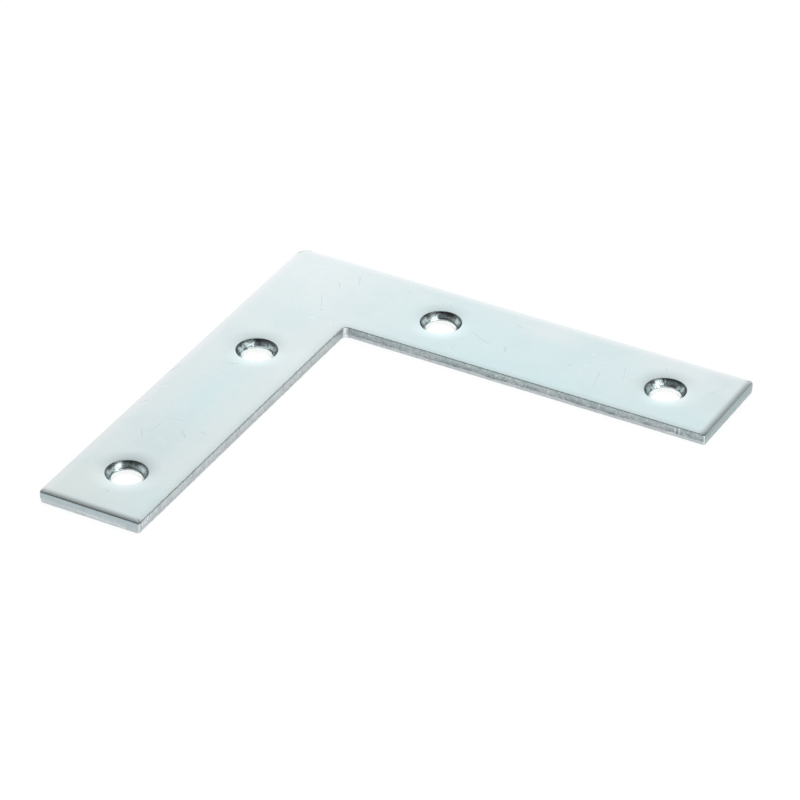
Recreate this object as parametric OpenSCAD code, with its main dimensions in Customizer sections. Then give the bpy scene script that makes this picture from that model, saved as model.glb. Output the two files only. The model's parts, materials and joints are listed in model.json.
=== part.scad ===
// Flat corner brace: one L-shaped plate of zinc-plated steel, stamped from sheet, with two
// countersunk screw holes in each arm.
// The back lies on z = 0 and the countersinks open upwards. The origin is where the two rows
// of holes cross. One arm points along +X and the other, its mirror image, along +Y.

/* [Plate] */
// Length of each arm, from the outer corner to its end
arm_len = 101.6; // [80:0.1:200]
// Width of each arm
arm_w = 22.2; // [18:0.1:40]
// Thickness of the sheet
plate_t = 2.5; // [2.2:0.1:5]
// Radius of the outer corner, seen from above
outer_corner_r = 3; // [1:0.5:8]
// Radius left by the punch in the inner corner, seen from above
inner_corner_r = 1.2; // [0.6:0.2:6]
// Radius of the four corners at the arms' ends, seen from above
end_corner_r = 0.5; // [0.2:0.1:3]

/* [Screw holes] */
// From an arm's end to the middle of its outer hole
hole_end = 13.8; // [8:0.1:25]
// Between the middles of an arm's two holes
hole_pitch = 49.8; // [20:0.1:52]
// Bore that the screw's shank passes through
bore_d = 5.9; // [3:0.1:7]
// Height of the straight bore, from the back up to the countersink
bore_land = 1; // [0.6:0.1:1.6]
// Full angle of the countersink
sink_angle = 90; // [60:1:100]
// Radius of the lip that the countersinking punch leaves
sink_lip_r = 0.25; // [0.1:0.05:1.2]
// Width of the shallow dish that it draws down around the lip
dish_w = 3; // [0.5:0.1:4]
// Depth of that dish where it meets the lip
dish_depth = 0.2; // [0.02:0.01:0.3]

/* [Cut edges] */
// Width of the soft roll-over where the ends were cropped
end_roll_w = 1.6; // [0.4:0.1:3]
// Drop of that roll-over
end_roll_depth = 0.2; // [0.04:0.02:0.4]
// Radius from the roll-over into the end face
end_edge_r = 0.35; // [0.1:0.05:0.8]
// Width of the roll-over along the arms' sides
side_roll_w = 1.6; // [0.2:0.1:3]
// Drop of that roll-over
side_roll_depth = 0.06; // [0.01:0.01:0.2]
// Radius from the roll-over into the side face
side_edge_r = 0.15; // [0.05:0.05:0.4]
// Height of the torn band at the foot of every cut face
tear_h = 0.9; // [0.3:0.1:1.2]
// How far the torn band draws back at the foot of the arms' sides
side_tear_depth = 0.25; // [0.05:0.05:0.4]
// How far it draws back at the foot of the ends
end_tear_depth = 0.08; // [0.02:0.02:0.2]

/* [Hidden] */
$fn = 96;

past = 1;                               // how far a cutting shape runs past the plate
hair = 0.00002;                         // by which arcs that would only touch cross
half_w = arm_w / 2;
arm_end = arm_len - half_w;             // from the origin to the end of an arm
hole_far = arm_end - hole_end;          // from the origin to the two holes of an arm
hole_near = hole_far - hole_pitch;
bore_r = bore_d / 2;
sink_slope = sink_angle / 2;            // of the countersink's wall, from upright
sink_r = bore_r + (plate_t - bore_land) * tan(sink_slope);   // at the sheet's face

// Copies what it holds onto the other arm, which is the mirror image
module both_arms() {
    children();
    mirror([1, -1, 0]) children();
}

// Area between a square corner at the origin and the arc of radius r that rounds it
module corner_tip(r, outside) {
    difference() {
        translate([-outside, -outside]) square(r + outside);
        translate([r, r]) circle(r);
    }
}

// Section that rolls a face over into a wall. The face is y = 0, the square corner is at the
// origin and the metal is at -x, -y. A long arc leaves the face over roll_w and drops by
// roll_depth, and a short arc of edge_r goes on, without a crease, into a wall that leans
// out by slope from upright. What is drawn is the metal to take off, and reach beyond it.
module roll_over(roll_w, roll_depth, edge_r, slope, reach) {
    turn = 2 * atan(roll_depth / roll_w);       // the face's slope where the arcs meet
    roll_r = roll_w / sin(turn);
    edge_y = -roll_depth - edge_r * cos(turn);
    edge_x = (-edge_r - edge_y * sin(slope)) / cos(slope);
    meet_x = edge_x + edge_r * sin(turn);
    wall = [edge_x + edge_r * cos(slope), edge_y + edge_r * sin(slope)];
    difference() {
        translate([meet_x, wall.y]) square([wall.x + reach - meet_x, past - wall.y]);
        translate([edge_x, edge_y]) circle(edge_r + hair);
    }
    translate([meet_x - roll_w, -roll_r]) difference() {
        square([roll_w + edge_r / 10, roll_r + past]);
        circle(roll_r);
    }
}

// Section of what shearing takes off a square edge: the roll-over above, the torn band below
module sheared_edge(roll_w, roll_depth, edge_r, tear_depth, reach) {
    translate([0, plate_t]) roll_over(roll_w, roll_depth, edge_r, 0, reach);
    polygon([[0, tear_h], [-tear_depth, 0], [-tear_depth, -past], [reach, -past], [reach, tear_h]]);
}

module side_edge(reach = past) {
    sheared_edge(side_roll_w, side_roll_depth, side_edge_r, side_tear_depth, reach);
}

module end_edge() {
    sheared_edge(end_roll_w, end_roll_depth, end_edge_r, end_tear_depth, past);
}

// Runs a section of an edge that faces -Y along +X, from x = 0
module along(length) {
    rotate([90, 0, 90]) linear_extrude(length) mirror([1, 0]) children();
}

// The sheet inside its outline, before the cut edges get their form
module blank() {
    linear_extrude(plate_t) difference() {
        translate([-half_w, -half_w]) square(arm_len);
        translate([half_w, half_w]) difference() {
            square(arm_len);
            corner_tip(inner_corner_r, past);
        }
        translate([-half_w, -half_w]) corner_tip(outer_corner_r, past);
        both_arms() {
            translate([arm_end, -half_w]) mirror([1, 0]) corner_tip(end_corner_r, past);
            translate([arm_end, half_w]) rotate(180) corner_tip(end_corner_r, past);
        }
    }
}

// What comes off along the outer sides, the inner sides and both corners between them
module side_edges() {
    outer_from = outer_corner_r - half_w;
    inner_from = half_w + inner_corner_r;
    both_arms() {
        translate([outer_from, -half_w, 0]) along(arm_end + past - outer_from) side_edge();
        translate([inner_from, half_w, 0]) mirror([0, 1, 0])
            along(arm_end + past - inner_from) side_edge();
    }
    translate([outer_from, outer_from, 0]) rotate(180)
        rotate_extrude(angle = 90) translate([outer_corner_r, 0]) side_edge();
    translate([inner_from, inner_from, 0]) rotate(180)
        rotate_extrude(angle = 90) translate([inner_corner_r, 0]) mirror([1, 0])
            side_edge(inner_corner_r / 2);
}

// What comes off across the arms' ends
module end_edges() {
    both_arms() translate([arm_end, -half_w - past, 0]) rotate(90) along(arm_w + 2 * past) end_edge();
}

// One hole: the bore, the countersink, its rolled lip and the dish around it
module screw_hole() {
    translate([0, 0, -past]) cylinder(r = bore_r, h = bore_land + 2 * past);
    translate([0, 0, bore_land])
        cylinder(r1 = bore_r, r2 = sink_r + past * tan(sink_slope), h = plate_t - bore_land + past);
    rotate_extrude() translate([sink_r, plate_t]) mirror([1, 0])
        roll_over(dish_w, dish_depth, sink_lip_r, sink_slope, bore_r / 2);
}

module corner_brace() {
    color("#d5e2e4") difference() {
        blank();
        side_edges();
        end_edges();
        both_arms() for (x = [hole_near, hole_far]) translate([x, 0, 0]) screw_hole();
    }
}

corner_brace();
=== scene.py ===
import json
import math

import bmesh
import bpy
from mathutils import Matrix, Vector, noise


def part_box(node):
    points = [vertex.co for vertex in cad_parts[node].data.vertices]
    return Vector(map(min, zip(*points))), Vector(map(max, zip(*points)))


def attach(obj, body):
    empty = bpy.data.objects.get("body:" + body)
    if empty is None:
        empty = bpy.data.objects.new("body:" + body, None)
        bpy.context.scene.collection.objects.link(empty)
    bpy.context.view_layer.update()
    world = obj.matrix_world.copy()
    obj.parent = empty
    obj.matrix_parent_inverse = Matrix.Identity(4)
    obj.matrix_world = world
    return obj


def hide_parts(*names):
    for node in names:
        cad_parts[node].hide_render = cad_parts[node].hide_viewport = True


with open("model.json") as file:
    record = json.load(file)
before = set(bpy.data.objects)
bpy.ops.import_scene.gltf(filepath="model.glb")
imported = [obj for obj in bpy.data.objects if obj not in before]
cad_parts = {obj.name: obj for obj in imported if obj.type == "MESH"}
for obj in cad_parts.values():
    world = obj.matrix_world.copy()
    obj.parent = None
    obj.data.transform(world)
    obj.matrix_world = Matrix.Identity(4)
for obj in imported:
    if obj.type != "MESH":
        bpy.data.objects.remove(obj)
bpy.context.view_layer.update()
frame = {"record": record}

MM = 0.001

# The plate, as the frame has it
low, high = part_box("corner_brace")
HALF_W = -low.x
ARM_END = high.x
PLATE_T = high.z
SCREW_HOLES = [m for m in frame["record"]["mounts"] if m["kind"] == "bore"]
BORE_R = SCREW_HOLES[0]["dims"]["r_mm"] * MM
BORE_LAND = SCREW_HOLES[0]["dims"]["length_mm"] * MM

# Corners of the outline, seen from above
OUTER_CORNER_R = 3.0 * MM
INNER_CORNER_R = 1.2 * MM
END_CORNER_R = 0.5 * MM

# Cut edges: the face rolls over into the wall, and the wall's foot is torn back
SIDE_ROLL_W = 1.6 * MM
SIDE_ROLL_DROP = 0.06 * MM
SIDE_EDGE_R = 0.15 * MM
SIDE_TEAR_DEPTH = 0.25 * MM
SIDE_TEAR_LIP = 0.05 * MM      # how far the wall steps back straight under the tear
END_ROLL_W = 1.4 * MM
END_ROLL_DROP = 0.18 * MM
END_EDGE_R = 0.35 * MM
END_TEAR_DEPTH = 0.08 * MM
END_TEAR_LIP = 0.0
TEAR_H = 0.9 * MM
TEAR_STEP = 0.06 * MM          # height of the step under the tear
TEAR_WAVER = 0.16 * MM         # how far the tear line wanders up and down
TEAR_LONG_WAVE = (3.1 * MM, 3)       # length and seed
TEAR_SHORT_WAVE = (0.8 * MM, 5)
TEAR_ROUGH = 0.07 * MM         # how far the torn band stands in and out
ROUGH_LONG_WAVE = (0.9 * MM, 7)
ROUGH_SHORT_WAVE = (0.4 * MM, 11)
ROUGH_OUT = 0.8                # the most that it stands out, as a share of its inset
FOOT_R = 0.05 * MM             # break of the back's edges

# The groove where two strokes of the shear meet on the Y arm's inner side
STROKE_Y = 84.7 * MM
STROKE_HALF_W = 0.25 * MM
STROKE_REACH = 3 * STROKE_HALF_W     # how far from its middle the wall counts as marked
STROKE_DEPTH = 0.05 * MM
STROKE_SWAY = 0.18 * MM

# Nicks in the X arm's inner side, close to its end
NICKS_FROM = 86.2 * MM
NICKS_TO = 90.0 * MM
NICK_DEPTH = 0.16 * MM
NICK_WAVE = (0.45 * MM, 13)    # length and seed
NICK_STRETCH = 4               # how many times as tall as long they are
NICK_BIAS = 0.1                # a higher one leaves less plain wall between them

RIM_W = 2.2 * MM               # strip of the face, along its edges, with painted shade and crumbs of relief
Y_RIM_W = 1.7 * MM             # its width along the Y arm
END_RIM = 0.5                  # how strong the strip's painted shade and crumbs are along the ends, against the sides
END_LINE = 0.1 * MM            # painted dark line of shade where the ends' roll-over turns into the end

# Countersinks
SINK_SLOPE = math.radians(45)  # of the wall, from upright
LIP_R = 0.25 * MM
DISH_W = 3.0 * MM
DISH_DROP = 0.20 * MM
MOUTH_R = 0.9 * MM             # where the countersink turns into the bore

# Bright corners between walls, tinted near white as a painted highlight: how far round the inner
# corner they start, from 0 at an arm's side to 1 in the middle, and between which of the end's shares they
# lie at the end corners
BRIGHT_CORNER_TURN = 0.4
BRIGHT_CORNER_FROM = 0.12
BRIGHT_CORNER_TO = 0.88

# Fineness of the mesh
STATION = 0.25 * MM            # along the outline
MARK_CUTS = 2                  # further cuts in a station where the wall is marked
FAN_W = 4.5 * MM               # stretch near a corner in which the stations spread
FLAT_RIM = 0.3 * MM            # flat ring between a rolled edge and the faces' fill
HOLE_STEPS = 120
EDGE_STEPS = 8
ROLL_STEPS = 6
TORN_STEPS = 6
CORNER_STEPS = 8
CONE_STEPS = 6
WELD = 0.0005 * MM             # vertices closer than this are one

# Finishes, in the order of the piece's material slots
FACE, SHEARED, TORN, END, BRIGHT_CORNER, SINK = range(6)


def arc(centre_x, centre_y, radius, start, end, steps):
    """Points of an arc from angle start to angle end, in radians."""
    turns = [start + (end - start) * i / steps for i in range(steps + 1)]
    return [(centre_x + radius * math.cos(a), centre_y + radius * math.sin(a)) for a in turns]


def roll_over(roll_w, roll_drop, edge_r, lean):
    """A face that rolls over into a wall, from the face outwards. The square corner is at
    (0, 0), the metal is at -x, -y, and the wall leans out by lean from upright."""
    turn = 2 * math.atan(roll_drop / roll_w)
    roll_r = roll_w / math.sin(turn)
    edge_y = -roll_drop - edge_r * math.cos(turn)
    edge_x = (-edge_r - edge_y * math.sin(lean)) / math.cos(lean)
    meet_x = edge_x + edge_r * math.sin(turn)
    upright = math.pi / 2
    roll = arc(meet_x - roll_w, -roll_r, roll_r, upright, upright - turn, ROLL_STEPS)
    edge = arc(edge_x, edge_y, edge_r, upright - turn, lean, EDGE_STEPS)
    return roll + edge[1:]


# The plate's outline and its cut edges

def cut_section(roll_w, roll_drop, edge_r, tear_depth, tear_lip):
    """Section of a cut edge from the back to the face, as (inset, height, finish). The finish
    is that of the band which ends at the point."""
    rise = (TEAR_H - TEAR_STEP - FOOT_R) / TORN_STEPS
    heights = [FOOT_R + rise * i for i in range(TORN_STEPS + 1)]
    torn = [(tear_lip + (tear_depth - tear_lip) * (1 - height / TEAR_H), height, TORN)
            for height in heights]
    foot = torn[0][0] + FOOT_R
    rolled = [(-x, PLATE_T + y) for x, y in reversed(roll_over(roll_w, roll_drop, edge_r, 0))]
    wall_top = rolled[0][1]
    wall = [(0, TEAR_H, TORN), (0, (TEAR_H + wall_top) / 2, SHEARED), (0, wall_top, SHEARED)]
    edge = [(x, y, SHEARED if i < EDGE_STEPS / 2 else FACE)
            for i, (x, y) in enumerate(rolled[1:])]
    return ([(foot + FLAT_RIM, 0, FACE), (foot, 0, FACE)] + torn + wall + edge
            + [(rolled[-1][0] + FLAT_RIM, PLATE_T, FACE)])


SIDE_SECTION = cut_section(SIDE_ROLL_W, SIDE_ROLL_DROP, SIDE_EDGE_R, SIDE_TEAR_DEPTH, SIDE_TEAR_LIP)
END_SECTION = cut_section(END_ROLL_W, END_ROLL_DROP, END_EDGE_R, END_TEAR_DEPTH, END_TEAR_LIP)
WALL_TOP = PLATE_T - SIDE_ROLL_DROP - SIDE_EDGE_R

# Centres of the outer and the inner corner's rounding
HEEL = Vector((OUTER_CORNER_R - HALF_W, OUTER_CORNER_R - HALF_W, 0))
CROOK = Vector((HALF_W + INNER_CORNER_R, HALF_W + INNER_CORNER_R, 0))


def drop_at(section, distance):
    """How far the face has dropped at a distance from the wall of a cut edge."""
    rolled = [(inset, PLATE_T - height) for inset, height, finish in section if height > TEAR_H]
    for (outer, outer_drop), (inner, inner_drop) in zip(rolled, rolled[1:]):
        if outer <= distance < inner:
            return outer_drop + (inner_drop - outer_drop) * (distance - outer) / (inner - outer)
    return 0 if distance > 0 else rolled[0][1]


def fan(distance):
    """1 at a rounded corner, falling to 0 where its stations no longer spread."""
    share = (FAN_W - distance) / (FAN_W - END_CORNER_R)
    return min(max(share, 0), 1)


def facing_out(point):
    """For the inner corner's rounding: 1 in its middle, 0 where it meets the arms' sides."""
    reach = (CROOK - point).normalized()
    turns = [math.acos(min(abs(part), 1)) for part in (reach.x, reach.y)]
    return 2 * min(turns) / (math.pi / 2)


def in_crook(point):
    """Whether a point of the outline is on the rounding of the inner corner."""
    return point.y > 0 and point.x < HALF_W + INNER_CORNER_R


def directions(point):
    """For a point of the outline on the X arm or its half of the corners: the outward
    directions in which the side's section and the end's section lie, and the end's share."""
    from_end = ARM_END - point.x
    from_side = HALF_W - abs(point.y)
    if point.x < HEEL.x and point.y < HEEL.y:
        return (point - HEEL).normalized(), Vector(), 0
    if in_crook(point):
        return (CROOK - point).normalized(), Vector(), 0
    across = math.copysign(1, point.y)
    if from_end > END_CORNER_R:
        return Vector((0, across, 0)), Vector((fan(from_end), 0, 0)), 0
    if from_side > END_CORNER_R:
        return Vector((0, across * fan(from_side), 0)), Vector((1, 0, 0)), 1
    share = (from_side / END_CORNER_R) ** 2
    share /= share + (from_end / END_CORNER_R) ** 2
    return Vector((0, across, 0)), Vector((1, 0, 0)), share


def mirrored(point):
    """The same point on the other arm."""
    return Vector((point.y, point.x, point.z))


def wave(point, size, seed):
    """Smooth noise from -1 to 1 with features of about that size."""
    return noise.noise(point / size + Vector((seed, seed, seed)))


def waves(point, long_wave, short_wave):
    """Long waves with short ones on them, half as high."""
    return wave(point, *long_wave) + 0.5 * wave(point, *short_wave)


def tear_line(spot, height):
    """How far the tear line wanders up or down at a place on the outline."""
    share = height / TEAR_H if height <= TEAR_H else 0
    return TEAR_WAVER * waves(spot, TEAR_LONG_WAVE, TEAR_SHORT_WAVE) * share


def torn_grain(spot, height, inset):
    """How far the torn band's surface stands in or out, and never beyond the wall."""
    if not 0 < height < TEAR_H:
        return 0
    place = spot + Vector((0, 0, height))
    rough = TEAR_ROUGH * waves(place, ROUGH_LONG_WAVE, ROUGH_SHORT_WAVE)
    return max(rough, -ROUGH_OUT * inset)


def is_marked(spot):
    """Whether the wall has a mark near a place on the outline."""
    near_stroke = abs(spot.y - STROKE_Y) < STROKE_REACH and abs(spot.x - HALF_W) < FOOT_R
    near_nicks = NICKS_FROM < spot.x < NICKS_TO and abs(spot.y - HALF_W) < FOOT_R
    return near_stroke or near_nicks


def mark_depth(spot, height):
    """How deep the wall is marked at a place on the outline and a height."""
    if height > WALL_TOP or not is_marked(spot):
        return 0
    if spot.y > spot.x:
        middle = STROKE_Y + STROKE_SWAY * math.sin(math.tau * height / PLATE_T)
        return STROKE_DEPTH * max(1 - abs(spot.y - middle) / STROKE_HALF_W, 0)
    share = math.sin(math.pi * (spot.x - NICKS_FROM) / (NICKS_TO - NICKS_FROM))
    place = Vector((spot.x, 0, height / NICK_STRETCH))
    return NICK_DEPTH * share * max(wave(place, *NICK_WAVE) + NICK_BIAS, 0)


def seat(vert, spot, side, end):
    """Places a ring's vertex: spot is its place on the outline, side and end are the ring's
    (inset, height) on the sides and on the ends."""
    swapped = spot.y > spot.x
    point = mirrored(spot) if swapped else spot.copy()
    to_side, to_end, share = directions(point)
    inset = side[0] * (1 - share) + end[0] * share
    rough = torn_grain(spot, side[1], inset) + mark_depth(spot, side[1])
    place = point - to_side * (side[0] + rough * (1 - share)) - to_end * (end[0] + rough * share)
    height = side[1] * (1 - share) + end[1] * share
    if side[1] > TEAR_H:
        above = min((side[1] - TEAR_H) / (WALL_TOP - TEAR_H), 1)
        height -= (1 - share) * drop_at(END_SECTION, ARM_END - place.x) * above
        height -= share * drop_at(SIDE_SECTION, HALF_W - abs(place.y)) * above
    vert.co = mirrored(place) if swapped else place
    vert.co.z = height + tear_line(spot, side[1])


def rim_share(spot, side):
    """How strongly the face is painted with shade and crumbled along its edges: 1 at its edge, 0
    where the strip along it ends. The outer sides get none."""
    if side[1] < TEAR_H or min(spot.x, spot.y) < FOOT_R - HALF_W:
        return 0
    swapped = spot.y > spot.x
    share = directions(mirrored(spot) if swapped else spot)[2]
    if share > 0.5 and side[0] < END_LINE:
        return 1
    width = Y_RIM_W if swapped and share < 0.5 else RIM_W
    return max(1 - side[0] / width, 0) * (1 + share * (END_RIM - 1))


def finish_at(spot, finish):
    """The finish of a band at a place on the outline: the ends are smoother than the sides,
    and the middles of the corners between walls get the bright finish, a painted highlight."""
    if finish == FACE:
        return FACE
    point = mirrored(spot) if spot.y > spot.x else spot
    share = directions(point)[2]
    if in_crook(point) and facing_out(point) > BRIGHT_CORNER_TURN:
        return BRIGHT_CORNER
    if BRIGHT_CORNER_FROM < share < BRIGHT_CORNER_TO:
        return BRIGHT_CORNER
    return END if share > 0.5 else finish


def draw_outline(bm):
    """The outline as a closed ring of edges, with rounded corners and close stations."""
    corners = {
        OUTER_CORNER_R: [(-HALF_W, -HALF_W)],
        INNER_CORNER_R: [(HALF_W, HALF_W)],
        END_CORNER_R: [(ARM_END, -HALF_W), (ARM_END, HALF_W),
                       (HALF_W, ARM_END), (-HALF_W, ARM_END)],
    }
    order = [(-HALF_W, -HALF_W), (ARM_END, -HALF_W), (ARM_END, HALF_W),
             (HALF_W, HALF_W), (HALF_W, ARM_END), (-HALF_W, ARM_END)]
    points = {xy: bm.verts.new((*xy, 0)) for xy in order}
    bm.faces.new([points[xy] for xy in order])
    for radius, places in corners.items():
        bmesh.ops.bevel(bm, geom=[points[xy] for xy in places], offset=radius,
                        offset_type="ABSOLUTE", segments=CORNER_STEPS, profile=0.5,
                        affect="VERTICES", material=-1)
    bmesh.ops.delete(bm, geom=list(bm.faces), context="FACES_ONLY")
    for edge in [e for e in bm.edges if e.calc_length() > 2 * STATION]:
        bmesh.ops.subdivide_edges(bm, edges=[edge], cuts=round(edge.calc_length() / STATION) - 1)
    marked = [e for e in bm.edges if all(is_marked(v.co) for v in e.verts)]
    bmesh.ops.subdivide_edges(bm, edges=marked, cuts=MARK_CUTS)


def cut_edges(bm):
    """The plate's rim, extruded ring by ring from the back's edge to the face's edge."""
    draw_outline(bm)
    spots = bm.verts.layers.float_vector.new("spot")
    rims = bm.verts.layers.float.new("rim")
    for vert in bm.verts:
        vert[spots] = vert.co
    ring = list(bm.edges)
    ring_verts = list(bm.verts)
    for i, (side, end) in enumerate(zip(SIDE_SECTION, END_SECTION)):
        if i > 0:
            grown = bmesh.ops.extrude_edge_only(bm, edges=ring)["geom"]
            ring_verts = [g for g in grown if isinstance(g, bmesh.types.BMVert)]
            ring = [g for g in grown if isinstance(g, bmesh.types.BMEdge) and g.is_boundary]
            for edge in ring:
                spot = (edge.verts[0][spots] + edge.verts[1][spots]) / 2
                edge.link_faces[0].material_index = finish_at(spot, side[2])
        for vert in ring_verts:
            seat(vert, vert[spots].copy(), side[:2], end[:2])
            vert[rims] = rim_share(vert[spots], side)
    bm.verts.layers.float_vector.remove(spots)


# The screw holes

def hole_section():
    """Section of a hole from the back to the face, as (radius, height, finish)."""
    sink_r = BORE_R + (PLATE_T - BORE_LAND) * math.tan(SINK_SLOPE)
    rolled = roll_over(DISH_W, DISH_DROP, LIP_R, SINK_SLOPE)
    pressed = [(sink_r - x, PLATE_T + y) for x, y in reversed(rolled)]
    mouth_h = MOUTH_R * math.tan(SINK_SLOPE / 2)
    mouth = arc(BORE_R + MOUTH_R, BORE_LAND - mouth_h, MOUTH_R, math.pi, math.pi - SINK_SLOPE,
                ROLL_STEPS)
    back = [(BORE_R + FOOT_R + FLAT_RIM, 0, FACE), (BORE_R + FOOT_R, 0, FACE),
            (BORE_R, FOOT_R, SINK)]
    bore = [(BORE_R, BORE_LAND / 2, SINK)] + [(x, y, SINK) for x, y in mouth]
    start, end = Vector(mouth[-1]), Vector(pressed[0])
    cone = [(*start.lerp(end, i / CONE_STEPS), SINK) for i in range(1, CONE_STEPS)]
    lip = [(x, y, SINK if i < EDGE_STEPS / 2 else FACE) for i, (x, y) in enumerate(pressed)]
    return back + bore + cone + lip + [(pressed[-1][0] + FLAT_RIM, PLATE_T, FACE)]


def screw_hole():
    """A hole's surfaces at the origin: its section spun about the axis."""
    bm = bmesh.new()
    section = hole_section()
    verts = [bm.verts.new((radius, 0, height)) for radius, height, finish in section]
    edges = [bm.edges.new(pair) for pair in zip(verts, verts[1:])]
    bmesh.ops.spin(bm, geom=verts + edges, cent=(0, 0, 0), axis=(0, 0, 1), dvec=(0, 0, 0),
                   angle=math.tau, steps=HOLE_STEPS, use_merge=True, use_normal_flip=False,
                   use_duplicate=False)
    for face in bm.faces:
        middle = face.calc_center_median()
        radius = math.hypot(middle.x, middle.y)
        near = min(zip(section, section[1:]), key=lambda band: (
            abs((band[0][0] + band[1][0]) / 2 - radius)
            + abs((band[0][1] + band[1][1]) / 2 - middle.z)))
        face.material_index = near[1][2]
    mesh = bpy.data.meshes.new("screw_hole")
    bm.to_mesh(mesh)
    bm.free()
    return mesh


def add_holes(bm):
    """Sets a copy of the hole's surfaces at each place where the frame has a hole."""
    hole = screw_hole()
    for mount in SCREW_HOLES:
        x, y = mount["pos_m"][:2]
        known = set(bm.verts)
        bm.from_mesh(hole)
        bmesh.ops.translate(bm, vec=(x, y, 0), verts=[v for v in bm.verts if v not in known])
    bpy.data.meshes.remove(hole)


def flat_faces(bm):
    """The face and the back, filled between the rim's ring and the holes' rings."""
    for height, up in ((PLATE_T, 1), (0, -1)):
        rims = [e for e in bm.edges
                if e.is_boundary and all(abs(v.co.z - height) < FOOT_R / 2 for v in e.verts)]
        bmesh.ops.triangle_fill(bm, edges=rims, use_beauty=True, use_dissolve=False,
                                normal=(0, 0, up))


def corner_brace():
    """The whole plate as one closed mesh."""
    bm = bmesh.new()
    cut_edges(bm)
    add_holes(bm)
    flat_faces(bm)
    bmesh.ops.remove_doubles(bm, verts=list(bm.verts), dist=WELD)
    bmesh.ops.recalc_face_normals(bm, faces=list(bm.faces))
    open_edges = sum(not e.is_manifold for e in bm.edges)
    volume = round(bm.calc_volume() / MM ** 3, 1)
    print("brace:", len(bm.verts), "vertices,", len(bm.faces), "faces,",
          open_edges, "open edges, volume", volume, "mm3")
    for face in bm.faces:
        face.smooth = True
    mesh = bpy.data.meshes.new("zinc_brace")
    bm.to_mesh(mesh)
    bm.free()
    piece = bpy.data.objects.new("zinc_brace", mesh)
    bpy.context.scene.collection.objects.link(piece)
    return piece


# Materials: helpers for nodes

VECTOR = "NodeSocketVector"
NUMBER = "NodeSocketFloat"


def add_node(tree, kind, inputs=None, **settings):
    """Adds a node. An input is given a value, or a socket to read."""
    node = tree.nodes.new(kind)
    for name, value in settings.items():
        setattr(node, name, value)
    for name, value in (inputs or {}).items():
        if isinstance(value, bpy.types.NodeSocket):
            tree.links.new(value, node.inputs[name])
        else:
            node.inputs[name].default_value = value
    return node


def new_group(name, inputs, outputs):
    """A shader node group with named sockets, given as {name: kind}."""
    tree = bpy.data.node_groups.new(name, "ShaderNodeTree")
    for socket, kind in inputs.items():
        tree.interface.new_socket(socket, in_out="INPUT", socket_type=kind)
    for socket, kind in outputs.items():
        tree.interface.new_socket(socket, in_out="OUTPUT", socket_type=kind)
    return tree, tree.nodes.new("NodeGroupInput").outputs, tree.nodes.new("NodeGroupOutput").inputs


def use_group(tree, group, **inputs):
    """Places a node group and gives its output. Its inputs are named as in the group."""
    return add_node(tree, "ShaderNodeGroup", inputs, node_tree=group).outputs[0]


def math_node(tree, operation, *values):
    """The result of a sum on numbers."""
    node = add_node(tree, "ShaderNodeMath", dict(enumerate(values)), operation=operation)
    return node.outputs[0]


def vector_node(tree, operation, *values, output="Vector"):
    """The result of a sum on vectors: a vector, or a number where output is Value."""
    node = add_node(tree, "ShaderNodeVectorMath", dict(enumerate(values)), operation=operation)
    return node.outputs[output]


def scaled(tree, vector, factor):
    """A vector times a number."""
    node = add_node(tree, "ShaderNodeVectorMath", {0: vector, "Scale": factor}, operation="SCALE")
    return node.outputs[0]


def split(tree, vector):
    """A vector's parts, as the outputs X, Y and Z."""
    return add_node(tree, "ShaderNodeSeparateXYZ", {0: vector}).outputs


def ramp(tree, value, start, end, start_value=0.0, end_value=1.0):
    """Maps start..end smoothly onto start_value..end_value."""
    return add_node(tree, "ShaderNodeMapRange",
                    {"Value": value, "From Min": start, "From Max": end,
                     "To Min": start_value, "To Max": end_value},
                    interpolation_type="SMOOTHSTEP").outputs["Result"]


def noise_node(tree, position, frequency, detail):
    """Smooth noise, as the outputs Fac and Color."""
    return add_node(tree, "ShaderNodeTexNoise",
                    {"Vector": position, "Scale": frequency, "Detail": detail},
                    noise_dimensions="3D").outputs


def mix_colour(tree, mask, below, above):
    """Lays a colour over another where the mask is 1."""
    node = add_node(tree, "ShaderNodeMix", data_type="RGBA")
    colours = [s for s in node.inputs if s.type == "RGBA"]
    for socket, value in [(node.inputs[0], mask), (colours[0], below), (colours[1], above)]:
        if isinstance(value, bpy.types.NodeSocket):
            tree.links.new(value, socket)
        else:
            socket.default_value = value if isinstance(value, float) else (*value, 1)
    return [s for s in node.outputs if s.type == "RGBA"][0]


# Materials: effects that several finishes share. Their positions and sizes are in millimetres.

FACE_LEVEL = PLATE_T / MM
MOTTLING_DETAIL = 3.0          # octaves of noise
DRAG_DETAIL = 2.0
DRAG_SPAN = (0.3, 0.7)         # the noise that is a dark line, and that which is a bright one
SCRATCH_CORE = 0.2             # share of a scratch's width that is marked in full
ARM_SPLIT = (0.3, 1.1)         # Y less X where the X arm's walls end and the Y arm's start


def mottling_group():
    """Noise with features of about Size, where Low and darker is 0, and High and lighter is 1."""
    tree, given, result = new_group(
        "mottling", {"Position": VECTOR, "Size": NUMBER, "Low": NUMBER, "High": NUMBER}, {"Mask": NUMBER})
    frequency = math_node(tree, "DIVIDE", 1.0, given["Size"])
    cloud = noise_node(tree, given["Position"], frequency, MOTTLING_DETAIL)["Fac"]
    tree.links.new(ramp(tree, cloud, given["Low"], given["High"]), result["Mask"])
    return tree


def patch_group():
    """An oval patch: 1 at its centre, fading out towards its radii."""
    tree, given, result = new_group(
        "patch", {"Position": VECTOR, "Centre": VECTOR, "Radii": VECTOR}, {"Mask": NUMBER})
    apart = vector_node(tree, "SUBTRACT", given["Position"], given["Centre"])
    apart = vector_node(tree, "DIVIDE", apart, given["Radii"])
    distance = vector_node(tree, "LENGTH", apart, output="Value")
    tree.links.new(ramp(tree, distance, 0.0, 1.0, 1.0, 0.0), result["Mask"])
    return tree


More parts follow.
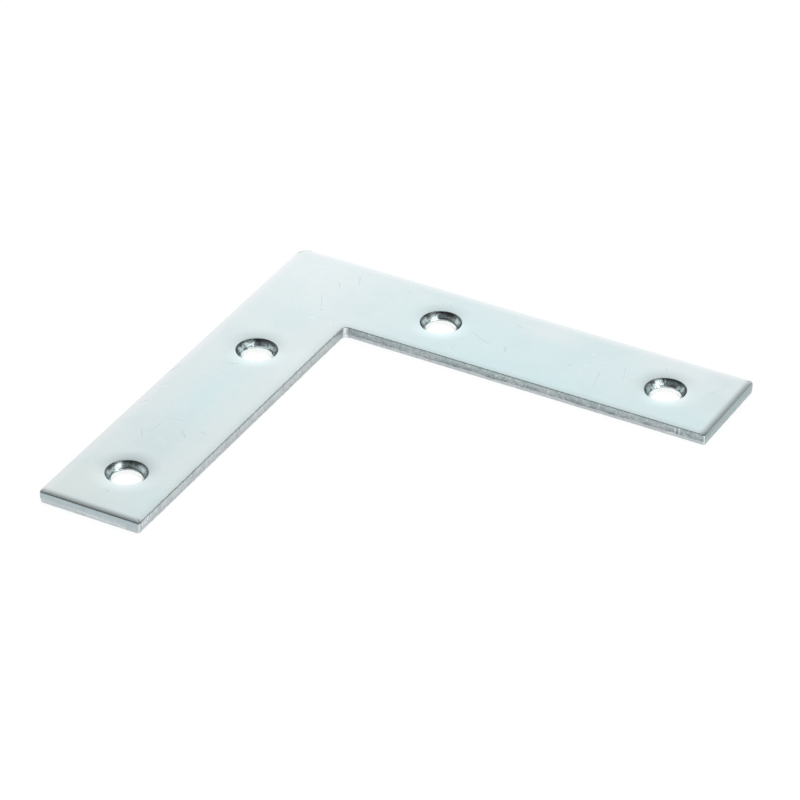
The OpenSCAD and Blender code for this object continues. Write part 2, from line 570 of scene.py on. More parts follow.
def scratch_group():
    """A straight scratch, or a speck where its start is its end."""
    tree, given, result = new_group(
        "scratch", {"Position": VECTOR, "Start": VECTOR, "End": VECTOR, "Width": NUMBER}, {"Mask": NUMBER})
    run = vector_node(tree, "SUBTRACT", given["End"], given["Start"])
    reach = vector_node(tree, "SUBTRACT", given["Position"], given["Start"])
    along = math_node(tree, "DIVIDE", vector_node(tree, "DOT_PRODUCT", reach, run, output="Value"),
                      vector_node(tree, "DOT_PRODUCT", run, run, output="Value"))
    along = math_node(tree, "MINIMUM", math_node(tree, "MAXIMUM", along, 0.0), 1.0)
    distance = vector_node(tree, "DISTANCE", reach, scaled(tree, run, along), output="Value")
    core = math_node(tree, "MULTIPLY", given["Width"], SCRATCH_CORE)
    tree.links.new(ramp(tree, distance, core, given["Width"], 1.0, 0.0), result["Mask"])
    return tree


def all_marks(tree, position, marks):
    """One mask for a list of scratches. A point (x, y) lies on the face."""
    masks = []
    for start, end, width in marks:
        start, end = ((*p, FACE_LEVEL) if len(p) == 2 else p for p in (start, end))
        masks.append(use_group(tree, SCRATCH, Position=position, Start=start, End=end, Width=width))
    mask = masks[0]
    for other in masks[1:]:
        mask = math_node(tree, "MAXIMUM", mask, other)
    return mask


def drag_group():
    """Fine lines up a cut wall, where the tool dragged over it: Stretch times as long as wide."""
    tree, given, result = new_group(
        "drag lines", {"Position": VECTOR, "Width": NUMBER, "Stretch": NUMBER}, {"Mask": NUMBER})
    parts = split(tree, given["Position"])
    height = math_node(tree, "DIVIDE", parts["Z"], given["Stretch"])
    place = add_node(tree, "ShaderNodeCombineXYZ", {"X": parts["X"], "Y": parts["Y"], "Z": height})
    frequency = math_node(tree, "DIVIDE", 1.0, given["Width"])
    lines = noise_node(tree, place.outputs[0], frequency, DRAG_DETAIL)["Fac"]
    tree.links.new(ramp(tree, lines, *DRAG_SPAN), result["Mask"])
    return tree


def arm_side_group():
    """Which arm a place on the walls belongs to: 0 on the X arm, 1 on the Y arm. It picks between the arms'
    tints, whose difference is painted light and shade.
    """
    tree, given, result = new_group("arm side", {"Position": VECTOR}, {"Mask": NUMBER})
    parts = split(tree, given["Position"])
    side = math_node(tree, "SUBTRACT", parts["Y"], parts["X"])
    tree.links.new(ramp(tree, side, *ARM_SPLIT), result["Mask"])
    return tree


# Nicks in the X arm's inner side, painted bright as highlights, drawn with drag lines of (width, stretch)
NICKS_AT = (88.2, 11.1, 1.2)
NICKS_REACH = (3.0, 3.0, 3.0)
NICKS_FADE = (0.1, 0.6)
NICKS_DRAG = (0.4, 2.5)
NICKS_BRIGHT = (0.45, 0.8)     # the part of the lines that shows
NICKS_SHARE = 0.7

# Bright lines beside the groove in the Y arm's inner side, painted highlights of burrs: start, end, width
STROKE_BURR_GLINTS = [
    ((11.1, 85.05, 2.2), (11.1, 85.0, 0.4), 0.18),
    ((11.1, 82.2, 0.5), (11.1, 83.3, 0.6), 0.22),
    ((11.1, 83.3, 0.6), (11.1, 84.1, 1.0), 0.22),
    ((11.1, 84.1, 1.0), (11.1, 84.2, 2.2), 0.14),
]


def nick_glints_group():
    """Painted highlights on upright nicks by the X arm's end."""
    tree, given, result = new_group("nicks", {"Position": VECTOR}, {"Mask": NUMBER})
    place = use_group(tree, PATCH, Position=given["Position"], Centre=NICKS_AT, Radii=NICKS_REACH)
    lines = dragged(tree, given["Position"], NICKS_DRAG)
    mask = math_node(tree, "MULTIPLY", ramp(tree, place, *NICKS_FADE),
                     ramp(tree, lines, *NICKS_BRIGHT, 0.0, NICKS_SHARE))
    tree.links.new(mask, result["Mask"])
    return tree


def burr_glints_group():
    """Painted highlights of the burrs where two strokes of the shear meet."""
    tree, given, result = new_group("stroke burrs", {"Position": VECTOR}, {"Mask": NUMBER})
    tree.links.new(all_marks(tree, given["Position"], STROKE_BURR_GLINTS), result["Mask"])
    return tree


def mottled(tree, position, mottling):
    """The mask of a mottling, given as (size, low, high)."""
    size, darkest, lightest = mottling
    return use_group(tree, MOTTLING, Position=position, Size=size, Low=darkest, High=lightest)


def dragged(tree, position, lines):
    """The mask of drag lines, given as (width, stretch)."""
    width, stretch = lines
    return use_group(tree, DRAG, Position=position, Width=width, Stretch=stretch)


def tinted(tree, colour, mask, share, tint):
    """Lays a tint over a colour where the mask is, and only that share of it."""
    return mix_colour(tree, math_node(tree, "MULTIPLY", mask, share), colour, tint)


def zinc(name, roughness):
    """A new zinc finish: its material, node tree, shader and position in millimetres."""
    material = bpy.data.materials.new(name)
    material.use_nodes = True
    tree = material.node_tree
    shader = tree.nodes["Principled BSDF"]
    shader.inputs["Metallic"].default_value = 1.0
    shader.inputs["Roughness"].default_value = roughness
    place = add_node(tree, "ShaderNodeTexCoord").outputs["Object"]
    return material, tree, shader, scaled(tree, place, 1 / MM)


def dress(tree, shader, colour, height, depth):
    """Gives a shader its colour and a relief of that depth, from a height of 0 to 1."""
    tree.links.new(colour, shader.inputs["Base Color"])
    bump = add_node(tree, "ShaderNodeBump", {"Height": height, "Distance": depth})
    tree.links.new(bump.outputs["Normal"], shader.inputs["Normal"])


# Materials: the finishes. A mottling is (size, low, high), drag lines are (width, stretch), and
# a share is how strongly a tint lies over the others. Where two tints stand together, they are
# the X arm's and the Y arm's: both arms have one plating, and the difference is painted light and shade.

# The face
FACE_TINT = (0.745, 0.825, 0.835)
FACE_AQUA = (0.69, 0.83, 0.85)
FACE_LILAC = (0.78, 0.84, 0.855)
FACE_BLUE = (0.655, 0.825, 0.85)
FACE_PALE = (0.80, 0.875, 0.89)
FACE_GREY = (0.68, 0.77, 0.78)
FACE_WARM = (0.75, 0.83, 0.80)
# The pale tint towards the outer sides is painted light
FACE_EDGE_LIGHT = (0.83, 0.86, 0.87)
# The dark tint along the inner sides and the ends is painted shade
RIM_SHADE_TINT = (0.28, 0.335, 0.335)
SCRATCH_TINT = (0.50, 0.60, 0.61)
GLINT_TINT = (0.90, 0.95, 0.95)
FACE_ROUGHNESS = (0.21, 0.25)  # between the clouds, and in them
FACE_RELIEF = 0.004 * MM
CLOUD = (9.0, 0.45, 0.68)
CLOUD_SHARE = 0.35
BLOOM = (3.5, 0.5, 0.72)
BLOOM_SHARE = 0.3
SHADE = (1.6, 0.5, 0.75)
SHADE_SHARE = 0.2
ASIDE = (310.0, 170.0, 0.0)    # moves blooms and shades off the clouds' own noise
OUTER_FADE = (-8.3, -10.6)     # where painted light pales the face towards the outer sides
OUTER_SHARE = 0.7
SHIVER_FREQUENCY = 0.9         # waver of the scratches, in waves a millimetre
SHIVER_DETAIL = 1.0
SHIVER_MIDDLE = (0.5, 0.5, 0.5)
SHIVER_REACH = 0.5
SCRATCH_SHARE = 0.3
GLINT_SHARE = 0.4
RIM_SHADE_SHARE = 0.1
EDGE_SHADE_FADE = (0.83, 1.06)       # rim values between which painted shade turns the face dark
EDGE_SHADE_SHARE = 0.9
CRUMBLE = (0.45, 0.3, 0.7)
CRUMBLE_SHARE = 0.1
CRUMBLE_RELIEF = 2.5
FACE_GRAIN = (0.5, 0.3, 0.7)
FACE_GRAIN_RELIEF = 0.15

# Patches on the face: middle (x, y), radii (x, y), tint, share. The pale patch at the outer corner is
# painted light, and the grey patches on the X arm are painted shade
FACE_PATCHES = [
    ((0, 45), (18, 60), FACE_AQUA, 1.0),
    ((8, 84), (9, 14), FACE_AQUA, 0.9),
    ((52, 0), (44, 8), FACE_AQUA, 1.0),
    ((12, 1), (9, 7), FACE_AQUA, 0.8),
    ((-7, 48), (5, 9), FACE_LILAC, 0.8),
    ((-8, 77), (6, 12), FACE_LILAC, 0.7),
    ((-5, -5), (34, 26), FACE_PALE, 0.75),
    ((9, 50), (7, 50), FACE_BLUE, 0.8),
    ((28, 8), (10, 5), FACE_PALE, 0.7),
    ((66, 0), (18, 9), FACE_GREY, 0.7),
    ((85, -6), (13, 9), FACE_WARM, 0.7),
    ((84, 8), (10, 6), FACE_AQUA, 0.7),
    ((92, 0), (9, 18), FACE_GREY, 0.6),
]

# Dark scratches and specks on the face: start (x, y), end (x, y), width
FACE_SCRATCHES = [
    ((3.0, 1.4), (6.6, 3.3), 0.14), ((7.9, 4.1), (7.9, 4.1), 0.42), ((-2.8, 2.1), (-0.9, 3.3), 0.26),
    ((-6.8, 4.8), (-4.2, 6.0), 0.2), ((-6.4, 16.4), (-6.4, 16.4), 0.5), ((0.2, -3.9), (0.2, -3.9), 0.3),
    ((-8.6, 39.0), (-6.3, 40.9), 0.14), ((-6.3, 40.9), (-6.0, 42.1), 0.26),
    ((0.9, 35.5), (2.7, 39.0), 0.2), ((0.4, 34.2), (0.9, 35.5), 0.28),
    ((4.0, 43.1), (2.3, 42.9), 0.2), ((2.3, 42.9), (2.1, 42.4), 0.2),
    ((2.1, 42.4), (3.3, 42.8), 0.2), ((4.1, 44.9), (3.7, 45.6), 0.16), ((7.8, 33.3), (6.0, 33.1), 0.16),
    ((1.6, 56.5), (1.6, 56.5), 0.5), ((1.1, 62.8), (2.4, 63.1), 0.26), ((2.4, 63.1), (6.4, 64.0), 0.16),
    ((-2.9, 66.6), (1.4, 68.0), 0.18), ((1.8, 65.6), (1.8, 65.6), 0.35), ((-6.8, 73.6), (-5.4, 74.3), 0.2),
    ((-3.5, 85.4), (-3.5, 85.4), 0.35), ((57.3, -3.3), (56.7, -2.1), 0.2), ((56.7, -2.1), (56.7, 0.0), 0.2),
    ((56.7, 0.0), (56.5, 2.3), 0.16), ((62.5, -3.1), (58.7, -2.9), 0.2), ((63.0, -4.9), (65.0, -3.6), 0.22),
    ((66.8, -4.1), (66.8, -4.1), 0.35), ((58.4, 5.2), (57.9, 5.5), 0.26), ((57.9, 5.5), (58.3, 6.7), 0.3),
    ((59.5, 2.1), (61.3, 3.8), 0.35), ((53.7, -9.4), (53.7, -9.4), 0.42),
    ((41.8, -10.6), (39.8, -10.0), 0.4), ((84.1, 0.2), (84.1, 0.2), 0.5),
    ((68.4, 8.9), (68.4, 8.9), 0.42), ((79.1, 7.9), (78.1, 9.7), 0.14),
    ((49.2, 10.1), (49.2, 10.1), 0.35), ((34.0, -1.8), (33.5, -0.5), 0.42),
]
# Bright ones
FACE_GLINTS = [
    ((-2.6, 12.7), (-2.6, 12.7), 0.4), ((11.6, 3.5), (11.2, 4.1), 0.4), ((10.5, 7.2), (11.5, 8.2), 0.2),
    ((0.3, 59.5), (0.3, 59.5), 0.4), ((-4.3, 58.6), (-4.3, 59.4), 0.3), ((47.6, -9.1), (47.2, -8.5), 0.3),
    ((54.3, -8.9), (54.3, -8.9), 0.35), ((3.2, 1.9), (5.2, 3.0), 0.14), ((57.0, -0.6), (56.9, 1.0), 0.2),
]


def face_zinc():
    """The plating on the face and the back: pale blue-green with clouds, scratches and specks,
    with painted light paling it towards the outer sides, and a painted dark line of shade along the inner
    sides and the ends."""
    material, tree, shader, position = zinc("zinc face", FACE_ROUGHNESS[0])
    cloud = mottled(tree, position, CLOUD)
    colour = tinted(tree, FACE_TINT, cloud, CLOUD_SHARE, FACE_AQUA)
    for (x, y), (radius_x, radius_y), tint, share in FACE_PATCHES:
        patch = use_group(tree, PATCH, Position=position, Centre=(x, y, FACE_LEVEL),
                          Radii=(radius_x, radius_y, radius_x))
        colour = tinted(tree, colour, patch, share, tint)
    aside = vector_node(tree, "ADD", position, ASIDE)
    colour = tinted(tree, colour, mottled(tree, aside, BLOOM), BLOOM_SHARE, FACE_LILAC)
    colour = tinted(tree, colour, mottled(tree, aside, SHADE), SHADE_SHARE, FACE_GREY)
    parts = split(tree, position)
    outside = math_node(tree, "MINIMUM", parts["X"], parts["Y"])
    # Painted light: the face pales towards the outer sides
    colour = mix_colour(tree, ramp(tree, outside, *OUTER_FADE, 0.0, OUTER_SHARE), colour, FACE_EDGE_LIGHT)
    shiver = noise_node(tree, position, SHIVER_FREQUENCY, SHIVER_DETAIL)["Color"]
    shiver = scaled(tree, vector_node(tree, "SUBTRACT", shiver, SHIVER_MIDDLE), SHIVER_REACH)
    wavering = vector_node(tree, "ADD", position, shiver)
    scratches = all_marks(tree, wavering, FACE_SCRATCHES)
    glints = all_marks(tree, wavering, FACE_GLINTS)
    colour = tinted(tree, colour, scratches, SCRATCH_SHARE, SCRATCH_TINT)
    colour = tinted(tree, colour, glints, GLINT_SHARE, GLINT_TINT)
    rim = add_node(tree, "ShaderNodeAttribute", attribute_name="rim").outputs["Fac"]
    crumble = mottled(tree, position, CRUMBLE)
    # Painted shade: a dark line along the inner sides and the ends
    colour = tinted(tree, colour, rim, RIM_SHADE_SHARE, RIM_SHADE_TINT)
    edge_shade = math_node(tree, "ADD", rim, math_node(tree, "MULTIPLY", crumble, CRUMBLE_SHARE))
    colour = tinted(tree, colour, ramp(tree, edge_shade, *EDGE_SHADE_FADE), EDGE_SHADE_SHARE, RIM_SHADE_TINT)
    grain = math_node(tree, "MULTIPLY", mottled(tree, position, FACE_GRAIN), FACE_GRAIN_RELIEF)
    height = math_node(tree, "SUBTRACT", grain, scratches)
    crumbs = math_node(tree, "MULTIPLY", math_node(tree, "MULTIPLY", crumble, rim), CRUMBLE_RELIEF)
    dress(tree, shader, colour, math_node(tree, "ADD", height, crumbs), FACE_RELIEF)
    tree.links.new(ramp(tree, cloud, 0.0, 1.0, *FACE_ROUGHNESS), shader.inputs["Roughness"])
    return material


# The sheared upper part of the sides
SHEARED_ROUGHNESS = 0.42
SHEARED_RELIEF = 0.004 * MM
# The Y arm's tints are darker than the X arm's, and darker towards the tear: painted shade
SHEARED_UPPER = ((0.585, 0.64, 0.64), (0.35, 0.43, 0.44))
SHEARED_LOWER = ((0.58, 0.63, 0.63), (0.225, 0.275, 0.285))
SHEARED_FADE = (2.0, 1.25)     # heights between which the upper tint turns into the lower one
SHEARED_STAIN = (4.0, 0.45, 0.6)
SHEARED_STAIN_SHARE = 0.4
SHEARED_STAIN_TINT = (0.47, 0.48, 0.51)
SHEARED_DRAG = (0.45, 4.0)
SHEARED_DRAG_SHARE = 0.5
SHEARED_DRAG_TINT = (0.30, 0.36, 0.37)
SHEARED_BLOTCH = (1.6, 0.35, 0.7)
SHEARED_BLOTCH_SHARE = 0.35
SHEARED_BLOTCH_TINT = (0.62, 0.68, 0.68)
SHEARED_GRAIN = (0.35, 0.5, 0.7)
SHEARED_GRAIN_SHARE = 0.45
SHEARED_GRAIN_TINT = (0.86, 0.90, 0.90)
# A dark line in the groove: painted shade
STROKE_GROOVE = [((11.1, 84.6, 2.3), (11.1, 84.6, 0.5), 0.13)]
GROOVE_SHADE_TINT = (0.21, 0.25, 0.26)
# The burrs' bright tint is a painted highlight
BURR_GLINT_TINT = (0.66, 0.72, 0.73)


def sheared_zinc():
    """The sheared upper part of the sides: satin, with drag lines and bright grains."""
    material, tree, shader, position = zinc("zinc sheared edge", SHEARED_ROUGHNESS)
    arm = use_group(tree, ARM_SIDE, Position=position)
    # The arms' tints differ by painted shade
    upper = mix_colour(tree, arm, *SHEARED_UPPER)
    lower = mix_colour(tree, arm, *SHEARED_LOWER)
    height = split(tree, position)["Z"]
    colour = mix_colour(tree, ramp(tree, height, *SHEARED_FADE), upper, lower)
    stain = mottled(tree, position, SHEARED_STAIN)
    drag = dragged(tree, position, SHEARED_DRAG)
    blotch = mottled(tree, position, SHEARED_BLOTCH)
    grain = mottled(tree, position, SHEARED_GRAIN)
    colour = tinted(tree, colour, stain, SHEARED_STAIN_SHARE, SHEARED_STAIN_TINT)
    colour = tinted(tree, colour, drag, SHEARED_DRAG_SHARE, SHEARED_DRAG_TINT)
    colour = tinted(tree, colour, blotch, SHEARED_BLOTCH_SHARE, SHEARED_BLOTCH_TINT)
    colour = tinted(tree, colour, grain, SHEARED_GRAIN_SHARE, SHEARED_GRAIN_TINT)
    # Painted highlights on the nicks and the burrs, and painted shade in the groove
    colour = mix_colour(tree, use_group(tree, NICK_GLINTS, Position=position), colour, GLINT_TINT)
    colour = mix_colour(tree, all_marks(tree, position, STROKE_GROOVE), colour, GROOVE_SHADE_TINT)
    colour = mix_colour(tree, use_group(tree, BURR_GLINTS, Position=position), colour, BURR_GLINT_TINT)
    dress(tree, shader, colour, math_node(tree, "ADD", drag, grain), SHEARED_RELIEF)
    return material


# The torn lower part of the sides
TORN_ROUGHNESS = 0.55
TORN_RELIEF = 0.02 * MM
# The Y arm's tint is lighter than the X arm's: painted light
TORN_TINTS = ((0.56, 0.605, 0.61), (0.615, 0.67, 0.69))
TORN_BLOTCH = (0.8, 0.35, 0.65)
TORN_BLOTCH_SHARE = 0.5
TORN_BLOTCH_TINT = (0.50, 0.50, 0.53)
TORN_GRAIN = (0.3, 0.3, 0.7)


def torn_zinc():
    """The torn lower part of the sides: coarse and mottled."""
    material, tree, shader, position = zinc("zinc torn edge", TORN_ROUGHNESS)
    arm = use_group(tree, ARM_SIDE, Position=position)
    # The arms' tints differ by painted light
    colour = mix_colour(tree, arm, *TORN_TINTS)
    blotch = mottled(tree, position, TORN_BLOTCH)
    colour = tinted(tree, colour, blotch, TORN_BLOTCH_SHARE, TORN_BLOTCH_TINT)
    # Painted highlights on the nicks and the burrs
    colour = mix_colour(tree, use_group(tree, NICK_GLINTS, Position=position), colour, GLINT_TINT)
    colour = mix_colour(tree, use_group(tree, BURR_GLINTS, Position=position), colour, GLINT_TINT)
    dress(tree, shader, colour, mottled(tree, position, TORN_GRAIN), TORN_RELIEF)
    return material


# The arms' ends
END_ROUGHNESS = 0.25
END_RELIEF = 0.005 * MM
# The Y arm's tints are darker than the X arm's: painted shade
END_UPPER = ((0.44, 0.53, 0.555), (0.27, 0.36, 0.36))
END_LOWER = ((0.56, 0.62, 0.645), (0.325, 0.41, 0.41))
END_FADE = (1.6, 0.7)          # heights between which the upper tint turns into the lower one
END_LENGTHWISE = (0.07, 0.07, 1.0)
END_BANDS = (0.6, 0.35, 0.65)
END_BANDS_SHARE = 0.3
END_BANDS_TINT = (0.62, 0.68, 0.71)
END_BLOTCH = (2.2, 0.4, 0.7)
END_BLOTCH_SHARE = 0.25
END_BLOTCH_TINT = (0.38, 0.42, 0.44)
END_STREAK = [((90.5, -2.6, 0.85), (90.5, 8.0, 0.4), 0.3)]
END_STREAK_SHARE = 0.25
END_GRAIN = (0.35, 0.35, 0.7)
END_GRAIN_SHARE = 0.25
END_GRAIN_TINT = (0.28, 0.32, 0.33)


def end_zinc():
    """The arms' ends: smooth, with faint lengthwise bands, lighter towards the foot, and on the Y arm
    tinted darker as painted shade.
    """
    material, tree, shader, position = zinc("zinc end", END_ROUGHNESS)
    arm = use_group(tree, ARM_SIDE, Position=position)
    # The arms' tints differ by painted shade
    upper = mix_colour(tree, arm, *END_UPPER)
    lower = mix_colour(tree, arm, *END_LOWER)
    height = split(tree, position)["Z"]
    colour = mix_colour(tree, ramp(tree, height, *END_FADE), upper, lower)
    bands = mottled(tree, vector_node(tree, "MULTIPLY", position, END_LENGTHWISE), END_BANDS)
    blotch = mottled(tree, position, END_BLOTCH)
    streak = all_marks(tree, position, END_STREAK)
    grain = mottled(tree, position, END_GRAIN)
    colour = tinted(tree, colour, bands, END_BANDS_SHARE, END_BANDS_TINT)
    colour = tinted(tree, colour, blotch, END_BLOTCH_SHARE, END_BLOTCH_TINT)
    colour = tinted(tree, colour, streak, END_STREAK_SHARE, GLINT_TINT)
    colour = tinted(tree, colour, grain, END_GRAIN_SHARE, END_GRAIN_TINT)
    dress(tree, shader, colour, math_node(tree, "ADD", bands, grain), END_RELIEF)
    return material


# The upright corners, tinted near white as a painted highlight
CORNER_ROUGHNESS = 0.3
CORNER_RELIEF = 0.006 * MM
# The near-white tint is a painted highlight
CORNER_TINT = (0.92, 0.95, 0.96)
CORNER_DRAG = (0.3, 8.0)
CORNER_DRAG_SHARE = 0.6
CORNER_DRAG_TINT = (0.48, 0.54, 0.55)
# A dark line in the inner corner: painted shade of a crease
CORNER_CREASE = [((11.25, 11.7, 2.0), (11.25, 11.7, 0.9), 0.16)]
CREASE_SHARE = 0.8
CREASE_SHADE_TINT = (0.22, 0.26, 0.27)


def bright_corner_zinc():
    """The upright corners between walls: tinted near white as a painted highlight, with strong upright
    lines, and a dark one of painted shade in the inner corner."""
    material, tree, shader, position = zinc("zinc corner", CORNER_ROUGHNESS)
    drag = dragged(tree, position, CORNER_DRAG)
    colour = tinted(tree, CORNER_TINT, drag, CORNER_DRAG_SHARE, CORNER_DRAG_TINT)
    # Painted shade: a dark line in the inner corner
    crease = all_marks(tree, position, CORNER_CREASE)
    colour = tinted(tree, colour, crease, CREASE_SHARE, CREASE_SHADE_TINT)
    dress(tree, shader, colour, drag, CORNER_RELIEF)
    return material


# The countersinks and bores
SINK_ROUGHNESS = 0.2
SINK_RELIEF = 0.01 * MM
SINK_TINT = (0.64, 0.80, 0.82)
SINK_BLOTCH = (1.5, 0.42, 0.6)
SINK_BLOTCH_SHARE = 0.8
# The blotches' dark tint is stained plating, and partly painted shade of the recess
SINK_BLOTCH_TINT = (0.29, 0.335, 0.335)
SINK_BLOTCH_RELIEF = 2.0
SINK_GRAIN = (0.45, 0.4, 0.65)
SINK_GRAIN_SHARE = 0.3
SINK_GRAIN_TINT = (0.86, 0.93, 0.94)
SINK_DARK = (0.08, 0.09, 0.09)
SINK_DARK_SHARE = 0.9
SINK_TOP = (1.65, 2.2)         # heights between which painted shade turns the wall dark under the lip
SINK_TOP_WANDER = 0.2          # how far the blotches lower it
SINK_FOOT = 1.17               # height of the dark line round the foot
SINK_FOOT_SPAN = (0.06, 0.14)  # how far from it the line starts to fade, and ends
SINK_FOOT_BREAKS = (0.0, 0.4)  # blotches between which the line starts to show, and is whole
# The bore's near-white tint is painted light
BORE_TINT = (0.95, 0.97, 0.97)
BORE_FADE = 0.5                # how far under the line the bore takes its near-white tint


def sink_zinc():
    """The countersinks and bores: pressed bright, with thin and stained plating in blotches whose darkness
    is partly painted shade of the recess, painted shade under the lip, dark in a broken line round the
    foot, and where the bore starts a near-white tint that is painted light."""
    material, tree, shader, position = zinc("zinc countersink", SINK_ROUGHNESS)
    blotch = mottled(tree, position, SINK_BLOTCH)
    grain = mottled(tree, position, SINK_GRAIN)
    colour = tinted(tree, SINK_TINT, blotch, SINK_BLOTCH_SHARE, SINK_BLOTCH_TINT)
    colour = tinted(tree, colour, grain, SINK_GRAIN_SHARE, SINK_GRAIN_TINT)
    height = split(tree, position)["Z"]
    upper = math_node(tree, "ADD", height, math_node(tree, "MULTIPLY", blotch, SINK_TOP_WANDER))
    # Painted shade: the wall darkens under the lip
    upper = ramp(tree, upper, *SINK_TOP, 0.0, SINK_DARK_SHARE)
    colour = mix_colour(tree, upper, colour, SINK_DARK)
    foot = math_node(tree, "ABSOLUTE", math_node(tree, "SUBTRACT", height, SINK_FOOT))
    foot = math_node(tree, "MULTIPLY", ramp(tree, foot, *SINK_FOOT_SPAN, SINK_DARK_SHARE, 0.0),
                     ramp(tree, blotch, *SINK_FOOT_BREAKS))
    colour = mix_colour(tree, foot, colour, SINK_DARK)
    # Painted light: the bore is tinted near white
    bore = ramp(tree, height, SINK_FOOT, SINK_FOOT - BORE_FADE)
    colour = mix_colour(tree, bore, colour, BORE_TINT)
    relief = math_node(tree, "MULTIPLY", blotch, SINK_BLOTCH_RELIEF)
    dress(tree, shader, colour, math_node(tree, "ADD", relief, grain), SINK_RELIEF)
    return material


# Studio. Directions are azimuths round the plate and elevations above the floor, in degrees.

CAMERA_AT = (760.59 * MM, 422.00 * MM, 544.23 * MM)
CAMERA_AIM = (25.77 * MM, 31.62 * MM, 0.0)
CAMERA_ROLL = math.radians(0.874)
CAMERA_LENS = 228.8
STUDIO_CENTRE = Vector((35 * MM, 35 * MM, 0))
FLOOR_SIZE = 3.0
FLOOR_GAP = 0.02 * MM          # keeps the floor clear of the plate's back
FLOOR_ROUGHNESS = 0.9
FLOOR_GLOW = 0.82              # as the camera and the metal see it
FLOOR_SHADED = 0.3             # its colour as they see it, which a shadow darkens
FLOOR_WHITE = 0.86             # its colour as it lights the plate
WORLD_LIGHT = 0.7
DOME_R = 0.75
DOME_SEGMENTS = 120
DOME_RINGS = 90

# What the dome shows. An arc is the azimuths where it starts, is whole, stops being whole and
# ends, and a fade is the elevations where it starts to fade and is gone.
CEILING_GLOW = 0.14
ZENITH_GLOW = 0.75
ZENITH_RISE = (72, 84)
RIGHT_GLOW = 0.8
RIGHT_ARC = (96, 130, 165, 187)
RIGHT_FADE = (20, 50)
LEFT_GLOW = 0.75
LEFT_ARC = (236, 256, 310, 340)
LEFT_FADE = (22, 50)
FRONT_GLOW = 0.9
FRONT_GAP = (60, 90, 290, 330)       # the arc that the front leaves out
FRONT_FADE = (22, 48)
BACKDROP_GLOW = 1.02
BACKDROP_ARC = (168, 197, 214, 258)
BACKDROP_FADE = (28, 80)
LOW_GLOW = 0.35                      # how much brighter the backdrop is near the floor
LOW_FADE = (8, 31)
SOFTBOX_GLOW = 2.5
SOFTBOX_ARC = (50, 62, 84, 124)
SOFTBOX_RISE = (0, 14, 50, 62)       # the same, in elevations


def add_camera():
    """The camera, at the photo's viewing angle."""
    data = bpy.data.cameras.new("camera")
    data.lens = CAMERA_LENS
    camera = bpy.data.objects.new("camera", data)
    bpy.context.scene.collection.objects.link(camera)
    sight = Vector(CAMERA_AIM) - Vector(CAMERA_AT)
    turn = sight.to_track_quat("-Z", "Y").to_matrix().to_4x4()
    camera.matrix_world = Matrix.Translation(CAMERA_AT) @ turn @ Matrix.Rotation(CAMERA_ROLL, 4, "Z")
    bpy.context.scene.camera = camera


def blend(start, end, value):
    """Rises smoothly from 0 at start to 1 at end."""
    share = min(max((value - start) / (end - start), 0), 1)
    return share * share * (3 - 2 * share)


def between(low_start, low_end, high_start, high_end, value):
    """1 between low_end and high_start, falling smoothly to 0 outside."""
    return blend(low_start, low_end, value) * (1 - blend(high_start, high_end, value))


def studio_glow(azimuth, elevation):
    """How bright the studio is in a direction, where the white backdrop is about 1."""
    glow = CEILING_GLOW
    right = between(*RIGHT_ARC, azimuth) * (1 - blend(*RIGHT_FADE, elevation))
    glow += (RIGHT_GLOW - glow) * right
    left = between(*LEFT_ARC, azimuth) * (1 - blend(*LEFT_FADE, elevation))
    glow += (LEFT_GLOW - glow) * left
    front = 1 - between(*FRONT_GAP, azimuth)
    glow += (FRONT_GLOW - glow) * front * (1 - blend(*FRONT_FADE, elevation))
    backdrop = between(*BACKDROP_ARC, azimuth) * (1 - blend(*BACKDROP_FADE, elevation))
    glow += (BACKDROP_GLOW + LOW_GLOW * (1 - blend(*LOW_FADE, elevation)) - glow) * backdrop
    softbox = between(*SOFTBOX_ARC, azimuth) * between(*SOFTBOX_RISE, elevation)
    glow += (SOFTBOX_GLOW - glow) * softbox
    return glow + (ZENITH_GLOW - glow) * blend(*ZENITH_RISE, elevation)


def add_stage(name, bm, material):
    """Adds a part of the studio, which isn't part of the object."""
    mesh = bpy.data.meshes.new(name)
    bm.to_mesh(mesh)
    bm.free()
    mesh.materials.append(material)
    thing = bpy.data.objects.new(name, mesh)
    bpy.context.scene.collection.objects.link(thing)
    return thing


def add_studio_dome():
    """What the metal reflects: a dome with a dark ceiling, light sides and front, a softbox
    and, opposite the camera, a white backdrop. Nothing but reflections sees it."""
    bm = bmesh.new()
    bmesh.ops.create_uvsphere(bm, u_segments=DOME_SEGMENTS, v_segments=DOME_RINGS, radius=DOME_R)
    glows = bm.verts.layers.float.new("glow")
    for vert in bm.verts:
        azimuth = math.degrees(math.atan2(vert.co.y, vert.co.x)) % 360
        elevation = math.degrees(math.asin(max(min(vert.co.z / DOME_R, 1), -1)))
        vert[glows] = studio_glow(azimuth, elevation)
    bmesh.ops.bisect_plane(bm, geom=bm.verts[:] + bm.edges[:] + bm.faces[:], plane_co=(0, 0, 0),
                           plane_no=(0, 0, 1), clear_inner=True)
    bmesh.ops.translate(bm, vec=STUDIO_CENTRE, verts=bm.verts)
    material = bpy.data.materials.new("studio glow")
    material.use_nodes = True
    material.cycles.emission_sampling = "NONE"
    tree = material.node_tree
    tree.nodes.remove(tree.nodes["Principled BSDF"])
    brightness = add_node(tree, "ShaderNodeAttribute", attribute_name="glow").outputs["Fac"]
    glow = add_node(tree, "ShaderNodeEmission", {"Strength": brightness})
    tree.links.new(glow.outputs[0], tree.nodes["Material Output"].inputs["Surface"])
    dome = add_stage("studio_dome", bm, material)
    dome.visible_camera = False
    dome.visible_diffuse = False
    dome.visible_shadow = False
    dome.visible_transmission = False


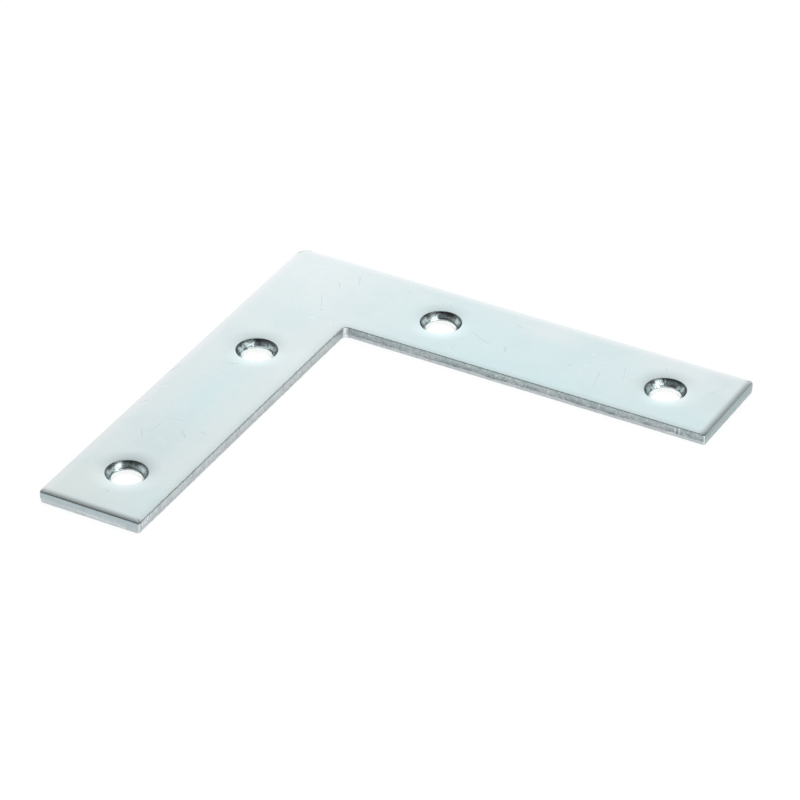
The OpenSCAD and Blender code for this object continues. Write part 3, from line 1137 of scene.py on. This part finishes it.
def add_floor():
    """A white floor that keeps a faint shadow of the plate, and is clear from below."""
    bm = bmesh.new()
    bmesh.ops.create_grid(bm, x_segments=1, y_segments=1, size=FLOOR_SIZE)
    bmesh.ops.translate(bm, vec=(0, 0, -FLOOR_GAP), verts=bm.verts)
    material = bpy.data.materials.new("white floor")
    material.use_nodes = True
    tree = material.node_tree
    shader = tree.nodes["Principled BSDF"]
    shader.inputs["Roughness"].default_value = FLOOR_ROUGHNESS
    shader.inputs["Specular IOR Level"].default_value = 0.0
    shader.inputs["Emission Color"].default_value = (1, 1, 1, 1)
    rays = add_node(tree, "ShaderNodeLightPath").outputs
    seen = math_node(tree, "MAXIMUM", rays["Is Camera Ray"], rays["Is Glossy Ray"])
    tree.links.new(ramp(tree, seen, 0.0, 1.0, 0.0, FLOOR_GLOW), shader.inputs["Emission Strength"])
    tree.links.new(ramp(tree, seen, 0.0, 1.0, FLOOR_WHITE, FLOOR_SHADED), shader.inputs["Base Color"])
    below = add_node(tree, "ShaderNodeNewGeometry").outputs["Backfacing"]
    clear = add_node(tree, "ShaderNodeBsdfTransparent").outputs[0]
    surface = add_node(tree, "ShaderNodeMixShader", {0: below, 1: shader.outputs[0], 2: clear})
    tree.links.new(surface.outputs[0], tree.nodes["Material Output"].inputs["Surface"])
    add_stage("floor", bm, material)


def add_world():
    """Even white light, and white wherever the camera or a reflection sees past the floor."""
    world = bpy.data.worlds.new("studio")
    world.use_nodes = True
    tree = world.node_tree
    shader = tree.nodes["Background"]
    shader.inputs["Color"].default_value = (1, 1, 1, 1)
    rays = add_node(tree, "ShaderNodeLightPath").outputs
    seen = math_node(tree, "MAXIMUM", rays["Is Camera Ray"], rays["Is Glossy Ray"])
    seen = math_node(tree, "MAXIMUM", seen, rays["Is Transmission Ray"])
    tree.links.new(ramp(tree, seen, 0.0, 1.0, WORLD_LIGHT, 1.0), shader.inputs["Strength"])
    bpy.context.scene.world = world


bpy.context.scene.view_settings.view_transform = "Standard"
MOTTLING = mottling_group()
PATCH = patch_group()
SCRATCH = scratch_group()
DRAG = drag_group()
ARM_SIDE = arm_side_group()
NICK_GLINTS = nick_glints_group()
BURR_GLINTS = burr_glints_group()

brace = corner_brace()
for finish in (face_zinc, sheared_zinc, torn_zinc, end_zinc, bright_corner_zinc, sink_zinc):
    brace.data.materials.append(finish())
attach(brace, "root")
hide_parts("corner_brace")

add_world()
add_floor()
add_camera()
add_studio_dome()
